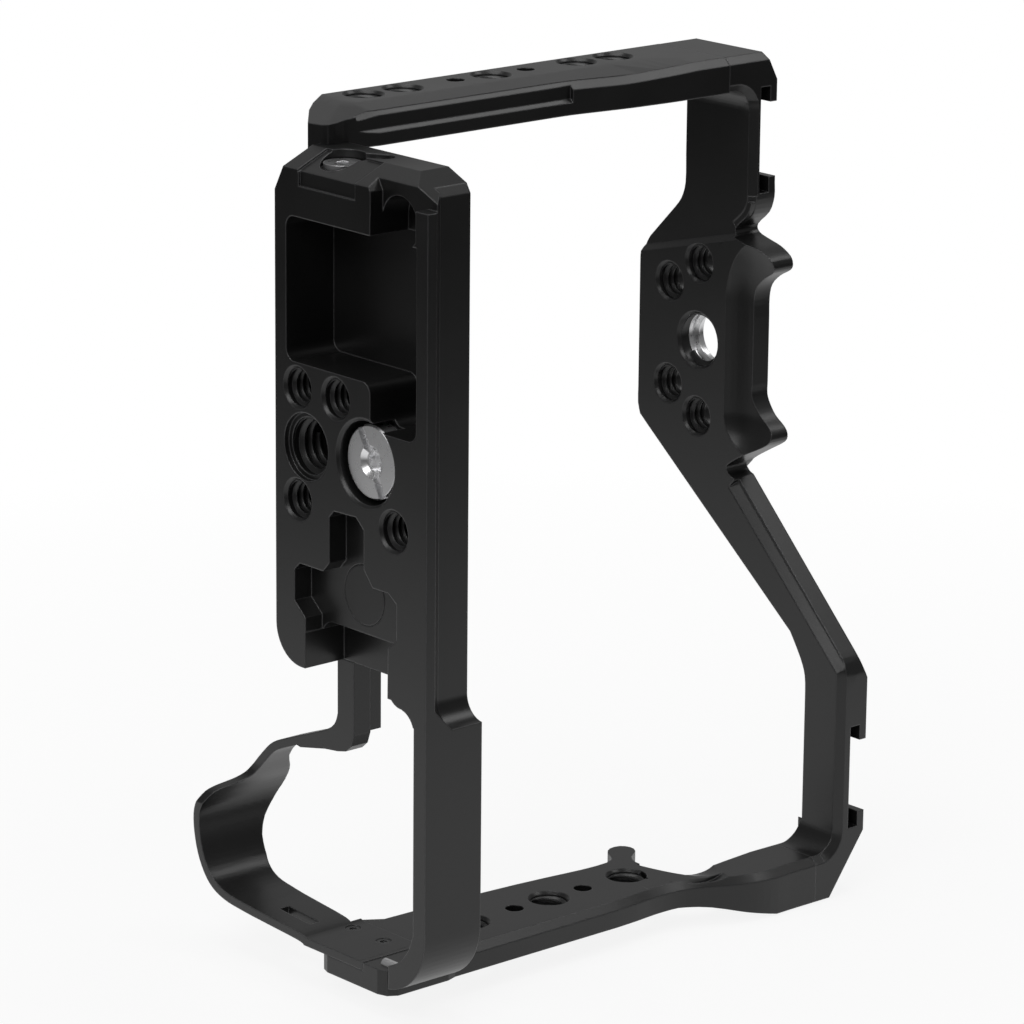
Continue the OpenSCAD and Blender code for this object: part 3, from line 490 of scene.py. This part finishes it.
# the rim between neck and plate runs out before the neck's corner and above the pad
rim_left = closed_shell([[(x, y, z) for x, z in [(97.5, 27), (neck_in, 27), (neck_in, 43), (99.1, 44.52),
                                                 (plate_in, 45.53), (97.5, 45.53)]]
                         for y in (29, 33)])
rim_low = closed_shell([[(x, 34.5, 20.9), (x, 29, 22.3), (x, 29, 27.1), (x, 34.5, 27.1)]
                        for x in (97.5, neck_in)])
elbow_side = closed_shell([[(x, 14.3, grip_in), (x, 13.3, -79.5), (x, 15, -79.5), (x, 15, grip_in)]
                           for x in (92, 98.49)])
neck_edge = [(92, neck_y, port_in)] + [(x, neck_y, z) for x, z in quarter(95.4, port_in, 1, -1)] + [
    (neck_in, neck_y, 28)]
neck_foot = [(neck_in, y, z) for y, z in smooth_run(
    [(neck_y, 34), (neck_y, 30), (neck_y, 27.4), (31.4, 24.6), (34.2, 22)], 4)]
pad_crease = [(plate_in, 62, 13.9), (plate_in, 33.9, 21.03)]
grip_elbow = [(90, grip_y, grip_in)] + [(x, grip_y, z) for x, z in quarter(94.5, grip_in, 1, 1)] + [
    (plate_in, grip_y, -62)]
arm_foot = [(plate_in, y, z) for y, z in smooth_run(
    [(grip_y, -60), (grip_y, -53), (5, -50.7), (7, -48.5), (9.4, -46)], 4)]
# one cutter for elbow and arm: its rings change from the back face to the inner face on the way
elbow_rings = bevel_rings(grip_elbow, (0, -1, 0), 1, edge_leg)
arm_rings = [[b, a, d, c] for a, b, c, d in bevel_rings(arm_foot, (-1, 0, 0), -1, edge_leg)]
dressed("top_plate", [rim_left, rim_low, elbow_side,
                      bevel_cutter(neck_edge, (0, -1, 0), -1, neck_leg),
                      bevel_cutter(neck_foot, (-1, 0, 0), 1, neck_leg),
                      bevel_cutter(pad_crease, (-1, 0, 0), 1, 1.05, 0.9),
                      closed_shell(elbow_rings + arm_rings)])
cut_thread("pad_threads", [(plate_in + mouth, y, 0.5 + s * z) for y, z in ((49.9, 9.3), (42.4, 13.9))
                           for s in (-1, 1)], (1, 0, 0), *quarter_inch, 4.8)
cut_thread("pad_thread_mouth", [(plate_in + 0.8, 42.5, 0.4)], (1, 0, 0), *three_eighths, 1.4)

# ---- Grip wrap ----
# A thin band round the front of the grip, milled in one piece with its short arm and black
# anodised. Two small screws hold its end in a rebate of the grip upright.
dressed("grip_wrap")

# ---- Anti-twist lug ----
# A small black anodised lug, screwed on the inside of the front arm. The camera's front leans
# on it, so that it can't turn on its screw.
dressed("anti_twist_lug")


# ---- Thread sleeve ----
# A turned steel sleeve pressed into the middle hole of the pad and tapped right through.
# It is as bright as the camera screw.
def bright_steel(name, tone, rough):
    """Turned stainless steel with faint turning marks."""
    stuff = bpy.data.materials.new(name)
    stuff.use_nodes = True
    tree = stuff.node_tree
    skin = tree.nodes["Principled BSDF"]
    skin.inputs["Base Color"].default_value = (tone, tone, tone * 1.01, 1)
    skin.inputs["Metallic"].default_value = 1
    place = add(tree, "ShaderNodeTexCoord").outputs["Object"]
    marks = add(tree, "ShaderNodeTexNoise", {"Vector": place, "Scale": 900}).outputs["Fac"]
    tree.links.new(ramp(tree, marks, 0, 1, rough - 0.06, rough + 0.08), skin.inputs["Roughness"])
    edge = add(tree, "ShaderNodeBevel", {"Radius": 0.00015}, samples=4)
    tree.links.new(edge.outputs["Normal"], skin.inputs["Normal"])
    return stuff


def coat(finish, *names):
    """The finish on the CAD nodes of the given names."""
    for name in names:
        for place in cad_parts[name].material_slots:
            place.material = finish


bright = bright_steel("turned steel", 0.78, 0.28)
coat(bright, "core_insert")
cut_thread("sleeve_thread", [(101.2, 42.5, 0.4)], (1, 0, 0), *three_eighths, 2.7, bright, "steel")

# ---- Camera screw ----
# Turned stainless steel, with a coin slot across a hexagon socket and a quarter-inch thread.
# It is held captive by a clip over a nylon washer.
stud_radius = 2.6
coat(bright, "camera_screw", "screw_clip")
coat(anodised("black nylon", 0.02, 0.5, 0.1), "screw_washer")
cut_thread("stud_thread", [(12.4, 15.3, 0.2)], (1, 0, 0), stud_radius, quarter_inch[1], 3.8,
           bright, "steel", "camera_screw", stud=True)

# ---- Small steel parts ----
# The bright screw and pin in the pocket of the port end, and the pins that line up the frame
# sections. The other screws are black oxide.
coat(bright, "end_screw", "end_pin", "strip_pins", "port_dowel", "grip_dowel")
coat(anodised("black oxide", 0.012, 0.3, 0.6), "wrap_screws", "lug_screws", "foot_screw",
     "port_joint_screws", "grip_joint_screws")

# ---- Tool magnet ----
# A round magnet with a dark coating, glued into the floor of the tool pocket, where it holds
# the hexagon key.
coat(anodised("coated magnet", 0.009, 0.36, 0.3), "tool_magnet")

# ---- Picture ----
# Colours are shown as they are.
scene.view_settings.view_transform = "Standard"
